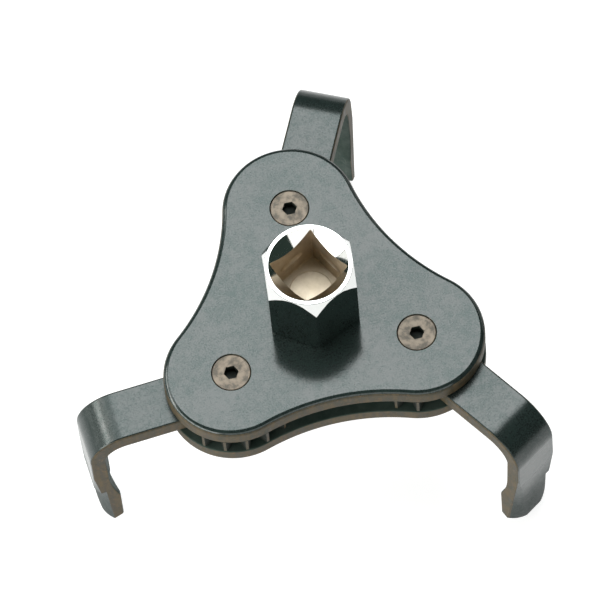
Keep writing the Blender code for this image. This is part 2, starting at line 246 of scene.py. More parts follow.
def combined(mesh, operation, tools):
    """The mesh after one exact Boolean with each tool in turn."""
    body = bpy.data.objects.new("body", mesh)
    bpy.context.collection.objects.link(body)
    helpers = [body]
    for tool_mesh in tools:
        tool = bpy.data.objects.new("tool", tool_mesh)
        bpy.context.collection.objects.link(tool)
        helpers.append(tool)
        step = body.modifiers.new(operation, "BOOLEAN")
        step.operation = operation
        step.solver = "EXACT"
        step.object = tool
    graph = bpy.context.evaluated_depsgraph_get()
    result = bpy.data.meshes.new_from_object(body.evaluated_get(graph))
    for helper in helpers:
        bpy.data.objects.remove(helper)
    return result


def moved(mesh, shift):
    mesh.transform(Matrix.Translation(shift))
    return mesh


def pivot(index):
    return polar(PIVOT_RADIUS, PIVOT_ANGLES[index]).to_3d()


def piece(name, mesh, looks, body, replaced, edge, place=None):
    """Finish a piece: smooth shaded, its sharp edges rounded by the edge width or kept sharp where
    there is none, and riding on a body in place of a CAD node. Rounded edges take the edge look
    where the piece has it."""
    indices = [face.material_index for face in mesh.polygons]
    mesh.materials.clear()
    for look in looks:
        mesh.materials.append(look)
    for face, index in zip(mesh.polygons, indices):
        face.material_index = min(index, len(looks) - 1)
    mesh.shade_smooth()
    if not edge:
        mesh.set_sharp_from_angle(angle=SHARP_ANGLE)
    made = bpy.data.objects.new(name, mesh)
    bpy.context.collection.objects.link(made)
    if place is not None:
        made.matrix_world = place
    soften(made, edge, looks.index(edge_look) if edge_look in looks else -1)
    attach(made, body)
    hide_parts(replaced)


def soften(made, edge, look_index):
    """Round the sharp edges, if there is a width, and straighten the shading of the flat faces."""
    if edge:
        bevel = made.modifiers.new("edges", "BEVEL")
        bevel.width = edge
        bevel.segments = 2
        bevel.limit_method = "ANGLE"
        bevel.angle_limit = ROUNDED_ANGLE
        bevel.material = look_index
    normals = made.modifiers.new("normals", "WEIGHTED_NORMAL")
    normals.keep_sharp = True


# ---------------------------------------------------------------- materials


class Look:
    """A Principled material with short ways to make and join the nodes that feed it."""

    def __init__(self, name, **values):
        self.material = bpy.data.materials.new(name)
        self.material.use_nodes = True
        self.tree = self.material.node_tree
        self.surface = self.tree.nodes["Principled BSDF"]
        self.place = self.add("ShaderNodeTexCoord").outputs["Object"]
        for label, value in values.items():
            self.set(self.surface, label.replace("_", " "), value)

    def add(self, kind, **inputs):
        made = self.tree.nodes.new(kind)
        for label, value in inputs.items():
            self.set(made, label, value)
        return made

    def set(self, node, label, value):
        self.set_slot(node.inputs[label], value)

    def set_slot(self, socket, value):
        """Join a socket to another, or give it a value; a colour gets its alpha."""
        if isinstance(value, bpy.types.NodeSocket):
            self.tree.links.new(value, socket)
        elif isinstance(value, tuple) and socket.type == "RGBA":
            socket.default_value = (*value, 1)
        else:
            socket.default_value = value

    def feed(self, label, socket):
        self.set(self.surface, label, socket)

    def stretched(self, along):
        """Object coordinates scaled along each axis."""
        made = self.add("ShaderNodeMapping", Vector=self.place)
        made.inputs["Scale"].default_value = along
        return made.outputs["Vector"]

    def noise(self, scale, detail=3.0, rough=0.5, where=None):
        made = self.add("ShaderNodeTexNoise", Vector=where or self.place, Scale=scale, Detail=detail)
        made.inputs["Roughness"].default_value = rough
        return made.outputs["Fac"]

    def cells(self, scale):
        made = self.add("ShaderNodeTexVoronoi", Vector=self.place, Scale=scale)
        return made.outputs["Distance"]

    def span(self, source, low, high, to_low=0.0, to_high=1.0):
        """The source, stretched so that low to high becomes to_low to to_high, and clamped."""
        made = self.add("ShaderNodeMapRange", Value=source)
        made.inputs["From Min"].default_value = low
        made.inputs["From Max"].default_value = high
        made.inputs["To Min"].default_value = to_low
        made.inputs["To Max"].default_value = to_high
        return made.outputs["Result"]

    def maths(self, operation, first, second=0.0):
        made = self.add("ShaderNodeMath")
        made.operation = operation
        self.set_slot(made.inputs[0], first)
        self.set_slot(made.inputs[1], second)
        return made.outputs[0]

    def axis(self, vector, name):
        return self.add("ShaderNodeSeparateXYZ", Vector=vector).outputs[name]

    def blend(self, share, first, second):
        """A colour between two, each a tuple or a socket."""
        made = self.add("ShaderNodeMix")
        made.data_type = "RGBA"
        self.set_slot(made.inputs["Factor"], share)
        colour_inputs = [s for s in made.inputs if s.type == "RGBA"]
        for socket, colour in zip(colour_inputs, (first, second)):
            self.set_slot(socket, colour)
        return [s for s in made.outputs if s.type == "RGBA"][0]

    def turning(self, closeness):
        """Rings round the object's Z axis, as a lathe leaves them, a little uneven."""
        east = self.axis(self.place, "X")
        north = self.axis(self.place, "Y")
        east_square = self.maths("MULTIPLY", east, east)
        square = self.maths("ADD", east_square, self.maths("MULTIPLY", north, north))
        jitter = self.maths("MULTIPLY", self.noise(900, 2), 0.25 * MM)
        radius = self.maths("ADD", self.maths("SQRT", square), jitter)
        return self.maths("SINE", self.maths("MULTIPLY", radius, closeness))

    def bump(self, height, strength, distance, below=None):
        made = self.add("ShaderNodeBump", Height=height, Strength=strength, Distance=distance)
        if below is not None:
            self.set(made, "Normal", below)
        return made.outputs["Normal"]


def oxide_face(name, glossiest, dullest, dull_below=None):
    """Smooth oiled face of blackened steel: cloudy, mottled, finely grained and a little pitted. It
    grows duller below the dull height, where there is one."""
    dulled_over = 16 * MM
    most_dulled = 0.45
    look = Look(name, IOR=1.62)
    clouds = look.maths("MULTIPLY", look.noise(65, 4, 0.6), 0.35)
    blotches = look.noise(420, 4, 0.65)
    flecks = look.noise(1150, 4, 0.65)
    grain = look.noise(2600, 4, 0.6)
    pits = look.span(look.cells(1500), 0.0, 0.18)
    fine = look.maths("MULTIPLY", look.maths("ADD", blotches, flecks), 0.325)
    mottle = look.maths("ADD", clouds, fine)
    share = look.span(mottle, 0.36, 0.64)
    look.feed("Base Color", look.blend(share, (0.015, 0.025, 0.023), (0.027, 0.039, 0.037)))
    grained = look.maths("ADD", mottle, look.maths("MULTIPLY", grain, 0.6))
    look.feed("Metallic", look.span(grained, 0.70, 0.91, 0.0, 0.58))
    gloss = look.span(mottle, 0.35, 0.65, glossiest, dullest)
    if dull_below is not None:
        height = look.axis(look.place, "Z")
        rubbed = look.span(height, dull_below, dull_below - dulled_over, 0.0, most_dulled)
        gloss = look.maths("ADD", gloss, rubbed)
    look.feed("Roughness", gloss)
    pitted = look.bump(pits, 0.12, 0.04 * MM, look.bump(grain, 0.14, 0.05 * MM))
    look.feed("Normal", look.bump(flecks, 0.06, 0.1 * MM, pitted))
    return look.material


def sheared_steel():
    """Sides left by the press tool: browner and rougher, with streaks down them and rust specks."""
    look = Look("sheared_steel", IOR=1.5, Roughness=0.55)
    look.surface.inputs["Specular IOR Level"].default_value = 0.22
    streaks = look.noise(900, 3, 0.6, look.stretched((1, 1, 0.12)))
    blotches = look.noise(300, 4, 0.65)
    rust = look.span(look.noise(1400, 4, 0.7), 0.56, 0.7)
    tone = look.blend(look.span(streaks, 0.35, 0.65), (0.046, 0.037, 0.022), (0.102, 0.078, 0.043))
    clouded = look.blend(look.span(blotches, 0.4, 0.7), tone, (0.040, 0.041, 0.029))
    look.feed("Base Color", look.blend(rust, clouded, (0.12, 0.074, 0.036)))
    look.feed("Roughness", look.span(streaks, 0.3, 0.7, 0.45, 0.65))
    grain = look.bump(look.noise(2600, 4, 0.6), 0.2, 0.05 * MM)
    look.feed("Normal", look.bump(streaks, 0.5, 0.12 * MM, grain))
    return look.material


def matte_steel():
    """Unpolished inner faces, still dull black from the oxide bath."""
    look = Look("matte_oxide", IOR=1.5)
    look.surface.inputs["Specular IOR Level"].default_value = 0.12
    blotches = look.noise(260, 5, 0.65)
    share = look.span(blotches, 0.35, 0.65)
    look.feed("Base Color", look.blend(share, (0.026, 0.044, 0.036), (0.048, 0.068, 0.058)))
    look.feed("Roughness", look.span(look.noise(1200, 3), 0.3, 0.7, 0.5, 0.7))
    look.feed("Normal", look.bump(look.noise(2200, 4, 0.65), 0.3, 0.08 * MM))
    return look.material


def worn_edge(name, face):
    """Rounded edges of blackened steel, rubbed through to the metal here and there."""
    look = Look(name, IOR=1.62)
    rubbed = look.span(look.noise(500, 4, 0.65), 0.5, 0.68, 0.0, 0.8)
    look.feed("Base Color", look.blend(rubbed, face, (0.20, 0.185, 0.16)))
    look.feed("Metallic", look.maths("MULTIPLY", rubbed, 0.7))
    look.feed("Roughness", look.span(look.noise(1500), 0.3, 0.7, 0.28, 0.42))
    look.feed("Normal", look.bump(look.noise(2600, 4, 0.6), 0.10, 0.05 * MM))
    return look.material


def chrome_plate():
    """Polished chrome: faint waviness from the buffing, fine wipe marks and a few dull spots."""
    look = Look("polished_chrome", Metallic=1.0)
    spots = look.span(look.noise(350, 5, 0.7), 0.62, 0.78)
    look.feed("Base Color", look.blend(spots, (0.69, 0.70, 0.69), (0.56, 0.55, 0.51)))
    wipes = look.noise(1100, 3, 0.6, look.stretched((1, 1, 0.15)))
    gloss = look.span(wipes, 0.3, 0.7, 0.05, 0.11)
    look.feed("Roughness", look.maths("ADD", gloss, look.maths("MULTIPLY", spots, 0.12)))
    waves = look.bump(look.noise(220, 2, 0.4), 0.05, 0.12 * MM)
    look.feed("Normal", look.bump(wipes, 0.04, 0.02 * MM, waves))
    return look.material


def socket_steel():
    """Broached, barely plated steel inside the drive socket: dull, yellowed and stained."""
    look = Look("broached_steel", Metallic=1.0)
    marks = look.noise(1600, 4, 0.6, look.stretched((1, 1, 0.05)))
    stains = look.noise(300, 4, 0.65)
    share = look.span(stains, 0.3, 0.7)
    look.feed("Base Color", look.blend(share, (0.55, 0.465, 0.355), (0.70, 0.61, 0.49)))
    look.feed("Roughness", look.span(marks, 0.3, 0.7, 0.44, 0.56))
    look.feed("Normal", look.bump(marks, 0.25, 0.05 * MM))
    return look.material


def plated_steel():
    """Zinc-plated hardware: turned rings round the axis, dull blotches and a yellowed tone."""
    look = Look("zinc_plate", Metallic=1.0)
    rings = look.turning(21000.0)
    stains = look.noise(420, 4, 0.65)
    share = look.span(stains, 0.3, 0.7)
    look.feed("Base Color", look.blend(share, (0.43, 0.36, 0.27), (0.62, 0.54, 0.43)))
    look.feed("Roughness", look.span(stains, 0.3, 0.7, 0.34, 0.5))
    fine = look.bump(look.noise(3000, 3), 0.12, 0.04 * MM)
    look.feed("Normal", look.bump(rings, 0.10, 0.02 * MM, fine))
    return look.material


def screw_steel():
    """Phosphated screw heads, rubbed brown, with turned rings and patches of dirt."""
    look = Look("rubbed_screw", Metallic=0.3, IOR=1.6)
    dirt = look.span(look.noise(700, 4, 0.65), 0.42, 0.62)
    look.feed("Base Color", look.blend(dirt, (0.17, 0.13, 0.09), (0.080, 0.066, 0.048)))
    look.feed("Roughness", look.span(dirt, 0.0, 1.0, 0.36, 0.5))
    fine = look.bump(look.noise(2600, 3), 0.15, 0.04 * MM)
    look.feed("Normal", look.bump(look.turning(21000.0), 0.10, 0.02 * MM, fine))
    return look.material


def painted_recess_shade():
    """Painted shade: a near-black, dull surface in a screw's key recess and between the claws'
    teeth.
    """
    look = Look("painted_recess_shade", IOR=1.45)
    look.surface.inputs["Specular IOR Level"].default_value = 0.2
    dirt = look.noise(1500, 4)
    # The near-black colour is painted shade; the noise only varies it a little.
    look.feed("Base Color", look.blend(dirt, (0.006, 0.010, 0.008), (0.022, 0.026, 0.021)))
    look.feed("Roughness", look.span(look.noise(900, 3), 0.3, 0.7, 0.5, 0.75))
    look.feed("Normal", look.bump(look.noise(2500, 3), 0.3, 0.05 * MM))
    return look.material


def hardened_steel():
    """Ground, oiled gear steel: cross-wise grinding marks and darker patches of old oil."""
    look = Look("ground_steel", Metallic=1.0)
    marks = look.noise(1800, 3, 0.6, look.stretched((0.15, 1, 1)))
    oil = look.noise(190, 4, 0.6)
    share = look.span(oil, 0.35, 0.7)
    look.feed("Base Color", look.blend(share, (0.20, 0.19, 0.17), (0.42, 0.41, 0.38)))
    look.feed("Roughness", look.span(marks, 0.3, 0.7, 0.26, 0.42))
    look.feed("Normal", look.bump(marks, 0.2, 0.04 * MM))
    return look.material


plate_face = oxide_face("oxide_plate", 0.10, 0.16)
claw_face = oxide_face("oxide_claw", 0.19, 0.28, TOP_FACE - 24 * MM)
sheared = sheared_steel()
matte = matte_steel()
edge_look = worn_edge("oxide_edge", (0.020, 0.030, 0.026))
chrome = chrome_plate()
broached = socket_steel()
zinc = plated_steel()
screw_face = screw_steel()
# Near-black look that paints shade into recesses, tooth flanks and bores
painted_shade = painted_recess_shade()
ground = hardened_steel()


# ---------------------------------------------------------------- housing


def lobed_outline(inset):
    """Three convex lobes round the pivots and the concave flanks tangent to them, moved inwards."""
    spread = FLANK_RADIUS**2 + PIVOT_RADIUS**2 - FLANK_RADIUS * PIVOT_RADIUS - LOBE_RADIUS**2
    hollow = spread / (2 * LOBE_RADIUS + PIVOT_RADIUS - 2 * FLANK_RADIUS)
    reach = FLANK_RADIUS + hollow
    seen = polar(reach, math.radians(60)) - Vector((PIVOT_RADIUS, 0))
    lobe_half = math.atan2(seen.y, seen.x)
    flank_half = lobe_half - math.radians(60)
    points = []
    for angle in PIVOT_ANGLES:
        lobe = polar(PIVOT_RADIUS, angle)
        points += arc(lobe, LOBE_RADIUS - inset, angle - lobe_half, angle + lobe_half, 60)
        middle = angle + math.radians(60)
        back = middle + math.pi
        centre = polar(reach, middle)
        points += arc(centre, hollow + inset, back + flank_half, back - flank_half, 24)[1:-1]
    return points


def plate_looks(mesh, inner_side):
    """The plate's sides are sheared, and its face towards the gears, up or down, is left matte."""
    for face in mesh.polygons:
        upward = face.normal.z
        if abs(upward) < 0.5:
            face.material_index = SHEARED_LOOK
        elif upward * inner_side > 0.5:
            face.material_index = MATTE_LOOK
        else:
            face.material_index = FACE_LOOK


def edged_plate(low, high, low_edge, high_edge, steps):
    """The lobed plate as a skin of shrinking outlines, so both its edges are truly round."""
    rings = []
    for i in range(steps + 1):
        turn = math.pi / 2 * i / steps
        inset = low_edge * (1 - math.sin(turn))
        rings.append((inset, low + low_edge * (1 - math.cos(turn))))
    for i in range(steps + 1):
        turn = math.pi / 2 * i / steps
        inset = high_edge * (1 - math.cos(turn))
        rings.append((inset, high - high_edge * (1 - math.sin(turn))))
    return loft([[Vector((*p, height)) for p in lobed_outline(inset)] for inset, height in rings])


def countersink():
    """Cutter for a screw's hole and the cone that its head sinks into."""
    wide = SCREW_HEAD + 0.14 * MM
    narrow = SCREW_RADIUS + CLEARANCE
    straight = TOP_FACE - 0.4 * MM
    beyond = 2 * MM
    return turned(
        [
            (0, TOP_PLATE_BACK - beyond),
            (narrow, TOP_PLATE_BACK - beyond),
            (narrow, straight - (wide - narrow)),
            (wide, straight),
            (wide, TOP_FACE + beyond),
            (0, TOP_FACE + beyond),
        ],
        64,
    )


def housing():
    beyond = 2 * MM
    blank = edged_plate(TOP_PLATE_BACK, TOP_FACE, 0.25 * MM, 1.35 * MM, 8)
    bore = drilled(JOURNAL_RADIUS + CLEARANCE, TOP_PLATE_BACK - beyond, TOP_FACE + beyond, 96)
    sinks = [moved(countersink(), pivot(k)) for k in range(3)]
    top = combined(blank, "DIFFERENCE", [bore, *sinks])
    plate_looks(top, -1)
    looks = [plate_face, sheared, matte, edge_look]
    piece("upper_plate", top, looks, "housing", "top_plate", 0.12 * MM)
    blank = edged_plate(BACK_FACE, LOWER_TOP, 0.5 * MM, 0.3 * MM, 4)
    low, high = BACK_FACE - beyond, LOWER_TOP + beyond
    bore = drilled(TAIL_RADIUS + CLEARANCE, low, high, 96)
    holes = [moved(drilled(SCREW_RADIUS + CLEARANCE, low, high), pivot(k)) for k in range(3)]
    bottom = combined(blank, "DIFFERENCE", [bore, *holes])
    plate_looks(bottom, 1)
    piece("lower_plate", bottom, looks, "housing", "bottom_plate", 0.12 * MM)


# ---------------------------------------------------------------- fasteners


def threaded_shank(tip, thread_top, top):
    """A shank whose lower stretch carries a real helical thread, from a heightfield of radii."""
    segments = 48
    per_pitch = 8
    depth = 0.42 * MM
    point = 0.7 * MM
    rings = []
    rows = round((thread_top - tip) / THREAD_PITCH * per_pitch)
    for row in range(rows + 1):
        height = tip + (thread_top - tip) * row / rows
        fade = min(1.0, (rows - row) / per_pitch)
        taper = max(0.0, point - (height - tip))
        points = []
        for i in range(segments):
            phase = ((height - tip) / THREAD_PITCH - i / segments) % 1.0
            groove = depth * (1 - abs(2 * phase - 1)) * fade
            radius = min(SCREW_RADIUS - groove, SCREW_RADIUS - taper)
            points.append(Vector((*polar(radius, math.tau * i / segments), height)))
        rings.append(points)
    smooth = [polar(SCREW_RADIUS, math.tau * i / segments) for i in range(segments)]
    rings.append([Vector((*point, top)) for point in smooth])
    return loft(rings)


def screw():
    """Countersunk screw: a crowned head with a bevelled hexagon socket, and a threaded shank."""
    head_top = TOP_FACE - 0.15 * MM
    side = 0.5 * MM
    fine = 0.02 * MM
    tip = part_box("pivot_screw_1")[0].z
    cone_foot = head_top - side - (SCREW_HEAD - SCREW_RADIUS)
    head = turned(
        [
            (0, cone_foot - 1 * MM),
            (SCREW_RADIUS - fine, cone_foot - 1 * MM),
            (SCREW_RADIUS - fine, cone_foot),
            (SCREW_HEAD, head_top - side),
            (SCREW_HEAD, head_top - 0.12 * MM),
            (SCREW_HEAD - 0.15 * MM, head_top),
            (0, head_top),
        ],
        64,
    )
    shank = threaded_shank(tip, BACK_FACE + 1.5 * MM, cone_foot - 0.5 * MM)
    body = combined(head, "UNION", [shank])
    key_flats = 3.1 * MM
    key_floor = head_top - 2.0 * MM
    key = prism(rounded_polygon(6, key_flats, 0, 0.08 * MM, 2), key_floor, head_top + 1 * MM)
    made = combined(body, "DIFFERENCE", [key])
    for face in made.polygons:
        centre = face.center
        in_key = centre.to_2d().length < key_flats * 0.6 and centre.z > key_floor - 0.1 * MM
        # Faces inside the key recess take the near-black look as painted shade.
        face.material_index = int(in_key and centre.z < head_top - fine)
    return made


def nut():
    """Hexagon nut with its corners turned off at both ends and a bevelled bore."""
    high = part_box("pivot_nut_1")[1].z
    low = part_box("pivot_nut_1")[0].z
    bore = SCREW_RADIUS + CLEARANCE
    flat = NUT_FLATS / 2
    corner = flat / math.cos(math.pi / 6)
    drop = 0.4 * MM
    lead = 0.35 * MM
    blank = turned(
        [
            (bore, low + lead),
            (bore + lead, low),
            (flat * 0.97, low),
            (corner, low + drop),
            (corner + drop, low + drop),
            (corner + drop, high - drop),
            (corner, high - drop),
            (flat * 0.97, high),
            (bore + lead, high),
            (bore, high - lead),
        ],
        96,
        closed=True,
    )
    hexagon = prism(rounded_polygon(6, NUT_FLATS, 0, 0.12 * MM, 2), low - MM, high + MM)
    return combined(blank, "INTERSECT", [hexagon])


def lock_washer():
    """Split spring washer, cut through by a slanted slot."""
    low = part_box("lock_washer_1")[0].z
    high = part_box("lock_washer_1")[1].z
    outer = 4.5 * MM
    half_slot = 0.35 * MM
    slot = box(0, 2 * outer, -half_slot, half_slot, -2 * MM, 2 * MM)
    slot.transform(Matrix.Rotation(math.radians(30), 4, "X"))
    washer = ring(SCREW_RADIUS + CLEARANCE, outer, low, high)
    return combined(washer, "DIFFERENCE", [moved(slot, UP * (low + high) / 2)])


def fasteners():
    kinds = [
        ("screw", "pivot_screw", screw(), [screw_face, painted_shade], "plain_steel", 0.05 * MM),
        ("nut", "pivot_nut", nut(), [zinc], "plain_steel", 0.07 * MM),
        ("spring_washer", "lock_washer", lock_washer(), [zinc], "plain_steel", 0.12 * MM),
        (
            "sleeve",
            "pivot_sleeve",
            ring(SCREW_RADIUS + CLEARANCE, SLEEVE_RADIUS, GEAR_BACK, GEAR_TOP),
            [ground],
            "hardened_steel",
            0.2 * MM,
        ),
    ]
    for k in range(3):
        place = Matrix.Translation(pivot(k)) @ Matrix.Rotation(PIVOT_ANGLES[k], 4, "Z")
        for name, node, mesh, looks, slot, edge in kinds:
            own = mesh.copy()
            piece(f"{name}_{k + 1}", own, looks, "housing", f"{node}_{k + 1}", edge, place)


# ---------------------------------------------------------------- hub


def hub():
    """Chamfered hexagon head with a square socket, a journal, a drive hexagon for the sun gear and
    a grooved tail, in one skin of rings that runs up the outside and down into the socket."""
    head = polygon_radius(6, HUB_FLATS, HUB_TURN, 0.15 * MM)
    drive = polygon_radius(6, DRIVE_FLATS, HUB_TURN, 0.2 * MM)
    socket = polygon_radius(4, SQUARE, SQUARE_TURN, 0.35 * MM)
    corner = HUB_FLATS / 2 / math.cos(math.pi / 6)
    spread = (corner - RIM_RADIUS) / CHAMFER_DROP
    low = TOP_FACE + CLEARANCE
    foot = 0.4 * MM
    soft = 0.08 * MM
    fine = 0.01 * MM
    groove_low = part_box("retaining_ring")[0].z - CLEARANCE
    groove_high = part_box("retaining_ring")[1].z + CLEARANCE
    tail_point = 0.5 * MM
    # The groove that the driver's spring ball snaps into
    deep, shallow = 7.3 * MM, 6.1 * MM
    middle, half_mouth = 5.6 * MM, 1.4 * MM
    groove_steps = 20
    # The socket's floor dips a little towards its middle
    dip = [(5.1 * MM, 0), (4.9 * MM, -0.12 * MM), (3.0 * MM, -0.2 * MM), (1.0 * MM, -0.24 * MM)]

    def chamfer_foot(angle):
        return RIM - (head(angle) - RIM_RADIUS) / spread

    def mouth_foot(angle):
        return RIM - (MOUTH_RADIUS - socket(angle))

    def groove(turn):
        bulge = shallow + (deep - shallow) * math.cos(turn)
        height = middle + half_mouth * math.sin(turn)
        return lambda angle: (max(socket(angle), bulge), height)

    outside = [
        lambda _: (TAIL_RADIUS - tail_point, TAIL_END),
        lambda _: (TAIL_RADIUS, TAIL_END + tail_point),
        lambda _: (TAIL_RADIUS, groove_low),
        lambda _: (TAIL_RADIUS - GROOVE_DEPTH, groove_low),
        lambda _: (TAIL_RADIUS - GROOVE_DEPTH, groove_high),
        lambda _: (TAIL_RADIUS, groove_high),
        lambda _: (TAIL_RADIUS, GEAR_BACK),
        lambda angle: (drive(angle), GEAR_BACK),
        lambda angle: (drive(angle), TOP_PLATE_BACK),
        lambda _: (JOURNAL_RADIUS, TOP_PLATE_BACK),
        lambda _: (JOURNAL_RADIUS, low),
        lambda angle: (min(head(angle), corner - foot) - fine, low),
        lambda angle: (head(angle), low + fine + max(0, head(angle) - corner + foot)),
        lambda angle: (head(angle), chamfer_foot(angle) - soft),
        lambda angle: (head(angle) - soft * spread, chamfer_foot(angle) + soft),
        lambda _: (RIM_RADIUS + soft * spread, RIM - soft),
        lambda _: (RIM_RADIUS - soft, RIM),
        lambda _: (MOUTH_RADIUS + fine, RIM),
        lambda _: (MOUTH_RADIUS - fine, RIM - fine),
        lambda angle: (socket(angle) + fine, mouth_foot(angle) + fine),
        lambda angle: (socket(angle), mouth_foot(angle) - fine),
    ]
    inside = [groove(math.radians(90 - 180 * i / groove_steps)) for i in range(groove_steps + 1)]
    inside += [
        lambda angle: (socket(angle), soft),
        lambda angle: (socket(angle) - soft, 0),
    ]
    inside += [lambda _, point=point: point for point in dip]
    rings = []
    for ring_of in outside + inside:
        points = []
        for degree in range(360):
            angle = math.radians(degree)
            radius, height = ring_of(angle)
            points.append(Vector((*polar(radius, angle), height)))
        rings.append(points)
    return loft(rings, second_look_from=len(outside) - 2)


def retaining_ring():
    """External snap ring: an open ring with two eyed ears."""
    low, high = (corner.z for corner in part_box("retaining_ring"))
    outer = 8.2 * MM
    ear_radius, ear_reach = 1.7 * MM, 8.5 * MM
    eye_radius, eye_reach = 0.8 * MM, 8.7 * MM
    half_gap = 1.1 * MM
    inset = 0.05 * MM
    band = ring(TAIL_RADIUS - GROOVE_DEPTH + CLEARANCE, outer, low, high, 96)
    ears = []
    eyes = []
    for side in (-1, 1):
        angle = math.radians(-90 + side * 17)
        ear = drilled(ear_radius, low + inset, high - inset, 40)
        ears.append(moved(ear, polar(ear_reach, angle).to_3d()))
        eye = drilled(eye_radius, low - MM, high + MM, 32)
        eyes.append(moved(eye, polar(eye_reach, angle).to_3d()))
    gap = box(-half_gap, half_gap, -14 * MM, 0, low - MM, high + MM)
    return combined(combined(band, "UNION", ears), "DIFFERENCE", [gap, *eyes])


def drive_train():
    piece("hub_body", hub(), [chrome, broached], "hub", "drive_hub", None)
    snap = retaining_ring()
    piece("snap_ring", snap, [ground], "hub", "retaining_ring", 0.08 * MM)
    washer_low, washer_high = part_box("thrust_washer")
    washer = ring(TAIL_RADIUS + CLEARANCE, 10.5 * MM, washer_low.z, washer_high.z, 96)
    piece("thrust_ring", washer, [zinc], "hub", "thrust_washer", 0.12 * MM)
    # The sun gear keeps its CAD mesh
    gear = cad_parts["sun_gear"]
    gear.material_slots[0].material = ground
    soften(gear, 0.12 * MM, -1)


# ---------------------------------------------------------------- claws


def involute(radius, base):
    """Polar angle that an involute of the base circle has swept when it reaches the radius."""
    roll = math.sqrt(max((radius / base) ** 2 - 1, 0))
    return roll - math.atan(roll)


def tooth(teeth, centre, steps=6):
    """Outline of one tooth, anticlockwise, from root to tip and back to root."""
    pitch = GEAR_MODULE * teeth / 2
    base = pitch * math.cos(PRESSURE_ANGLE)
    root = pitch - DEDENDUM
    tip = pitch + GEAR_MODULE
    half_at_pitch = math.pi / (2 * teeth) - BACKLASH / (2 * pitch)
    radii = [base + (tip - base) * i / steps for i in range(steps + 1)]
    halves = [half_at_pitch + involute(pitch, base) - involute(r, base) for r in radii]
    side = [(root, halves[0]), *zip(radii, halves)]
    rising = [polar(radius, centre - half) for radius, half in side]
    falling = [polar(radius, centre + half) for radius, half in reversed(side)]
    return rising + falling


def gear_root():
    """The round root: teeth all round but where the bar leaves."""
    step = math.tau / CLAW_TEETH
    half_opening = math.radians(36)
    teeth_each_side = 7
    points = arc(Vector((0, 0)), CLAW_PITCH - DEDENDUM, -half_opening, half_opening, 16)
    for k in range(-teeth_each_side, teeth_each_side + 1):
        points += tooth(CLAW_TEETH, math.pi + k * step)
    inset = 0.02 * MM
    return prism(points, GEAR_BACK + inset, GEAR_TOP - inset)


def half_width(height):
    """The leg spreads a little from under the bend to the tip."""
    bend_end = GEAR_TOP - OUTER_BEND
    share = (bend_end - height) / (bend_end - TIP_HEIGHT)
    return BAR_HALF_WIDTH + TOE_SPREAD * max(0.0, share)


def bar_section(outer, inner, corner):
    """A ring round the claw: a rectangle with round corners between its outer and inner side."""
    middle = (outer + inner) / 2
    across = (inner - outer).normalized()
    half_thick = (inner - outer).length / 2 - corner
    half_wide = half_width(middle.y) - corner
    steps = 5
    points = []
    for quarter, (thick_side, wide_side) in enumerate(((1, 1), (-1, 1), (-1, -1), (1, -1))):
        for i in range(steps + 1):
            turn = math.pi / 2 * (quarter + i / steps)
            depth = thick_side * half_thick + corner * math.cos(turn)
            wide = wide_side * half_wide + corner * math.sin(turn)
            side_view = middle + across * depth
            points.append(Vector((side_view.x, wide, side_view.y)))
    return points


def claw_sides():
    """Pairs of outer and inner side points, (reach, height), from inside the root to the nose."""
    start = 9 * MM
    outer = [Vector((start, GEAR_TOP)), Vector((BEND_REACH - 3 * MM, GEAR_TOP))]
    outer += arc(Vector((BEND_REACH, GEAR_TOP - OUTER_BEND)), OUTER_BEND, math.pi / 2, 0, 24)
    inner_centre = Vector((LEG_INNER - INNER_BEND, GEAR_BACK - INNER_BEND))
    inner = [Vector((start, GEAR_BACK)), Vector((inner_centre.x - 3 * MM, GEAR_BACK))]
    inner += arc(inner_centre, INNER_BEND, math.pi / 2, 0, 24)
    straight_to = TOP_FACE - 31 * MM
    fall = straight_to - TIP_HEIGHT
    steps = 16
    for i in range(steps + 1):
        share = i / steps
        outer.append(Vector((LEG_OUTER - NOSE_PULL * share**2, straight_to - fall * share)))
    ramp_from = TOP_FACE - 24 * MM
    for i in range(steps):
        share = i / (steps - 1)
        reach = LEG_INNER - (LEG_INNER - TOE_REACH) * share**2
        inner.append(Vector((reach, ramp_from + (TOE_LEDGE - ramp_from) * share)))
    inner.append(Vector((TOE_REACH, TOE_HEIGHT)))
    return list(zip(outer, inner))


def crown_cutter(side, crown, lean, height, across=False):
    """Block with a hollow quarter face that rounds one side of the leg's outer face. It leans away
    from the leg, so the rounding grows towards the nose, and it ends at the height above the nose.
    A cutter across the leg also takes a flat cut off the other side."""
    wide = 8.0 * MM
    past_middle = 0 if across else math.radians(3)
    half = math.asin(wide / crown)
    outline = [Vector((0, -side * wide))] if across else []
    outline += arc(Vector((-crown, 0)), crown, -side * past_middle, side * half, 24)
    far = 8.0 * MM
    outline += [Vector((far, side * wide)), Vector((far, outline[0].y))]
    block = prism(outline, -4 * MM, height)
    nose_crest = Vector((CROWN_REACH, 0, TIP_HEIGHT))
    block.transform(Matrix.Translation(nose_crest) @ Matrix.Rotation(lean, 4, "Y"))
    return block


def toe_hollow():
    """Upright cylinder that hollows the toe's gripping face and leaves a flat land at each side."""
    hollow = drilled(TOE_HOLLOW_RADIUS, TIP_HEIGHT - 2 * MM, TOP_FACE - 20 * MM, 128)
    axis_reach = TOE_REACH + TOE_HOLLOW_DEPTH - TOE_HOLLOW_RADIUS
    return moved(hollow, Vector((axis_reach, 0, 0)))


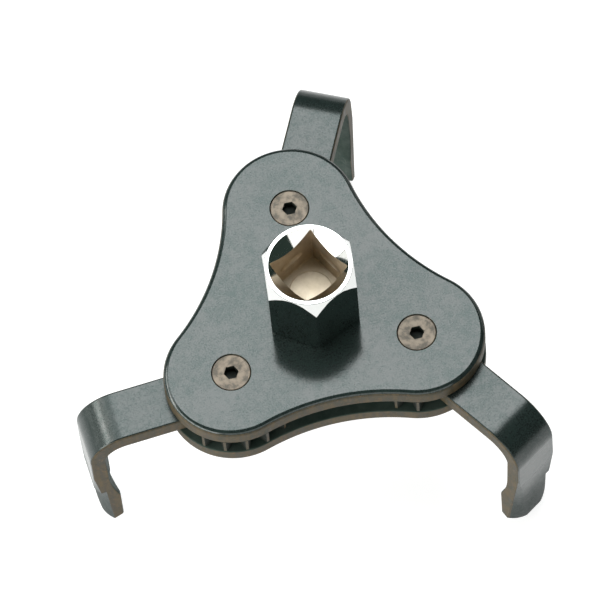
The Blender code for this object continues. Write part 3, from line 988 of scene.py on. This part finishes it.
def claw_looks(mesh):
    """The claw's sides and tooth tips are sheared, its inner and under faces are left matte, and the
    teeth's flanks and the bore take painted shade."""
    tip = CLAW_PITCH + 0.9 * GEAR_MODULE
    for face in mesh.polygons:
        centre, normal = face.center, face.normal
        upright = abs(normal.z) < 0.5
        in_root = centre.x <= CLAW_PITCH - DEDENDUM
        if in_root:
            side = upright and centre.to_2d().length > tip
            inner = normal.z < -0.5
        else:
            side = abs(normal.y) > 0.7
            inner = normal.x < 0.3 and (normal.z < 0.3 or centre.z < GEAR_BACK)
        if side:
            face.material_index = SHEARED_LOOK
        # The teeth's flanks and the bore take the near-black look as painted shade.
        elif in_root and upright:
            face.material_index = PAINTED_SHADE_LOOK
        elif inner:
            face.material_index = MATTE_LOOK
        else:
            face.material_index = FACE_LOOK


def claws():
    corner = 0.55 * MM
    skin = loft([bar_section(outer, inner, corner) for outer, inner in claw_sides()])
    whole = combined(skin, "UNION", [gear_root()])
    bore = drilled(SLEEVE_RADIUS + CLEARANCE, GEAR_BACK - MM, GEAR_TOP + MM)
    crowns = [
        crown_cutter(-1, 8.5 * MM, math.radians(7), 34 * MM),
        crown_cutter(1, 10.0 * MM, math.radians(6.5), 33 * MM),
        crown_cutter(1, 10.0 * MM, math.radians(2.4), 17.2 * MM, across=True),
    ]
    mesh = combined(whole, "DIFFERENCE", [bore, toe_hollow(), *crowns])
    claw_looks(mesh)
    for k, body in enumerate(("claw_a", "claw_b", "claw_c")):
        own = mesh.copy()
        swing = Matrix.Rotation(PIVOT_ANGLES[k] + CLAW_SWING, 4, "Z")
        own.transform(Matrix.Translation(pivot(k)) @ swing)
        looks = [claw_face, sheared, matte, edge_look, painted_shade]
        piece(f"claw_arm_{k + 1}", own, looks, body, f"claw_{k + 1}", 0.14 * MM)


housing()
fasteners()
drive_train()
claws()


# ---------------------------------------------------------------- studio


def softbox(name, direction, distance, wide, high, brightness, colour):
    """A rectangular light with that radiance, facing the origin from the direction."""
    data = bpy.data.lights.new(name, "AREA")
    data.shape = "RECTANGLE"
    data.size = wide
    data.size_y = high
    data.energy = brightness * math.pi * wide * high
    data.color = colour
    lamp = bpy.data.objects.new(name, data)
    bpy.context.collection.objects.link(lamp)
    towards = Vector(direction).normalized()
    lamp.location = towards * distance
    lamp.rotation_mode = "QUATERNION"
    lamp.rotation_quaternion = towards.to_track_quat("Z", "Y")


def panel(name, azimuth, elevation, distance, wide, high, brightness, colour):
    """A softbox in the direction of that azimuth, anticlockwise from +X, and that elevation."""
    flat = math.cos(math.radians(elevation))
    direction = (*(flat * polar(1, math.radians(azimuth))), math.sin(math.radians(elevation)))
    softbox(name, direction, distance, wide, high, brightness, colour)


def table():
    """Pale floor with a glow that keeps it white in the picture and fades out a little past it."""
    glow_middle = (-0.05, 0.12, 0)
    glow_reach, glow_end = 0.24, 0.32
    glow, glow_outside = 0.80, 0.08
    look = Look("white_table", Metallic=0.0, Roughness=0.6)
    look.feed("Base Color", look.blend(look.noise(9, 3), (0.40, 0.40, 0.40), (0.43, 0.43, 0.43)))
    look.surface.inputs["Emission Color"].default_value = (1, 1, 1, 1)
    from_middle = look.stretched((1, 1, 0))
    from_middle.node.inputs["Location"].default_value = glow_middle
    flat = look.add("ShaderNodeVectorMath")
    flat.operation = "LENGTH"
    look.set_slot(flat.inputs[0], from_middle)
    away = flat.outputs["Value"]
    fading = look.span(away, glow_reach, glow_end, glow, glow_outside)
    look.feed("Emission Strength", fading)
    look.surface.inputs["Specular IOR Level"].default_value = 0.1
    reach = 4.0
    thick = 20 * MM
    gap = 0.2 * MM
    corners = [(-reach, -reach), (reach, -reach), (reach, reach), (-reach, reach)]
    top = bpy.data.objects.new("table", prism(corners, FLOOR - thick, FLOOR - gap))
    top.data.materials.append(look.material)
    bpy.context.collection.objects.link(top)


def studio():
    table()
    world = bpy.data.worlds.new("studio")
    world.use_nodes = True
    surround = world.node_tree.nodes["Background"].inputs
    surround["Color"].default_value = (0.03, 0.046, 0.038, 1)
    surround["Strength"].default_value = 1.0
    bpy.context.scene.world = world
    warm = (1.0, 0.985, 0.95)
    softbox("back_softbox", (0.10, 0.42, 0.902), 1.6, 1.08, 1.05, 4.95, (0.96, 1.0, 1.0))
    softbox("left_feather", (-0.384, 0.382, 0.84), 1.7, 0.42, 1.0, 2.2, (0.93, 1.0, 1.0))
    softbox("left_strip", (-0.775, 0.35, 0.528), 1.5, 0.9, 0.28, 8.5, warm)
    softbox("left_fill", (-0.60, 0.37, 0.71), 1.7, 0.9, 0.5, 2.2, warm)
    panel("left_low_panel", 153, 4, 1.5, 0.7, 0.3, 1.3, warm)
    panel("front_left_panel", 203, 20, 1.5, 2.1, 0.75, 5.0, warm)
    panel("front_right_panel", 273.5, 22, 1.5, 1.5, 0.85, 1.5, warm)
    panel("right_panel", 32, 18, 1.6, 0.9, 0.4, 1.0, warm)


def camera():
    """A long lens above the front of the object, rolled a little, as fitted to the photo."""
    azimuth = math.radians(-6.728)
    elevation = math.radians(64.911)
    roll = math.radians(-6.046)
    distance = 1.48594
    aim_left, aim_down = 1.733 * MM, 0.283 * MM
    back = Vector(
        (
            math.sin(azimuth) * math.cos(elevation),
            -math.cos(azimuth) * math.cos(elevation),
            math.sin(elevation),
        )
    )
    level = Vector((math.cos(azimuth), math.sin(azimuth), 0))
    upright = back.cross(level)
    right = math.cos(roll) * level + math.sin(roll) * upright
    up = math.cos(roll) * upright - math.sin(roll) * level
    aim = Vector((0, 0, TOP_FACE)) - aim_left * right - aim_down * up
    data = bpy.data.cameras.new("camera")
    data.lens = 376.2
    data.sensor_width = 36.0
    data.clip_start = 0.05
    data.clip_end = 50.0
    seen_from = bpy.data.objects.new("camera", data)
    bpy.context.collection.objects.link(seen_from)
    seen_from.matrix_world = Matrix.Translation(aim + back * distance) @ Matrix(
        (
            (right.x, up.x, back.x, 0),
            (right.y, up.y, back.y, 0),
            (right.z, up.z, back.z, 0),
            (0, 0, 0, 1),
        )
    )
    bpy.context.scene.camera = seen_from


studio()
camera()
bpy.context.scene.view_settings.view_transform = "Standard"
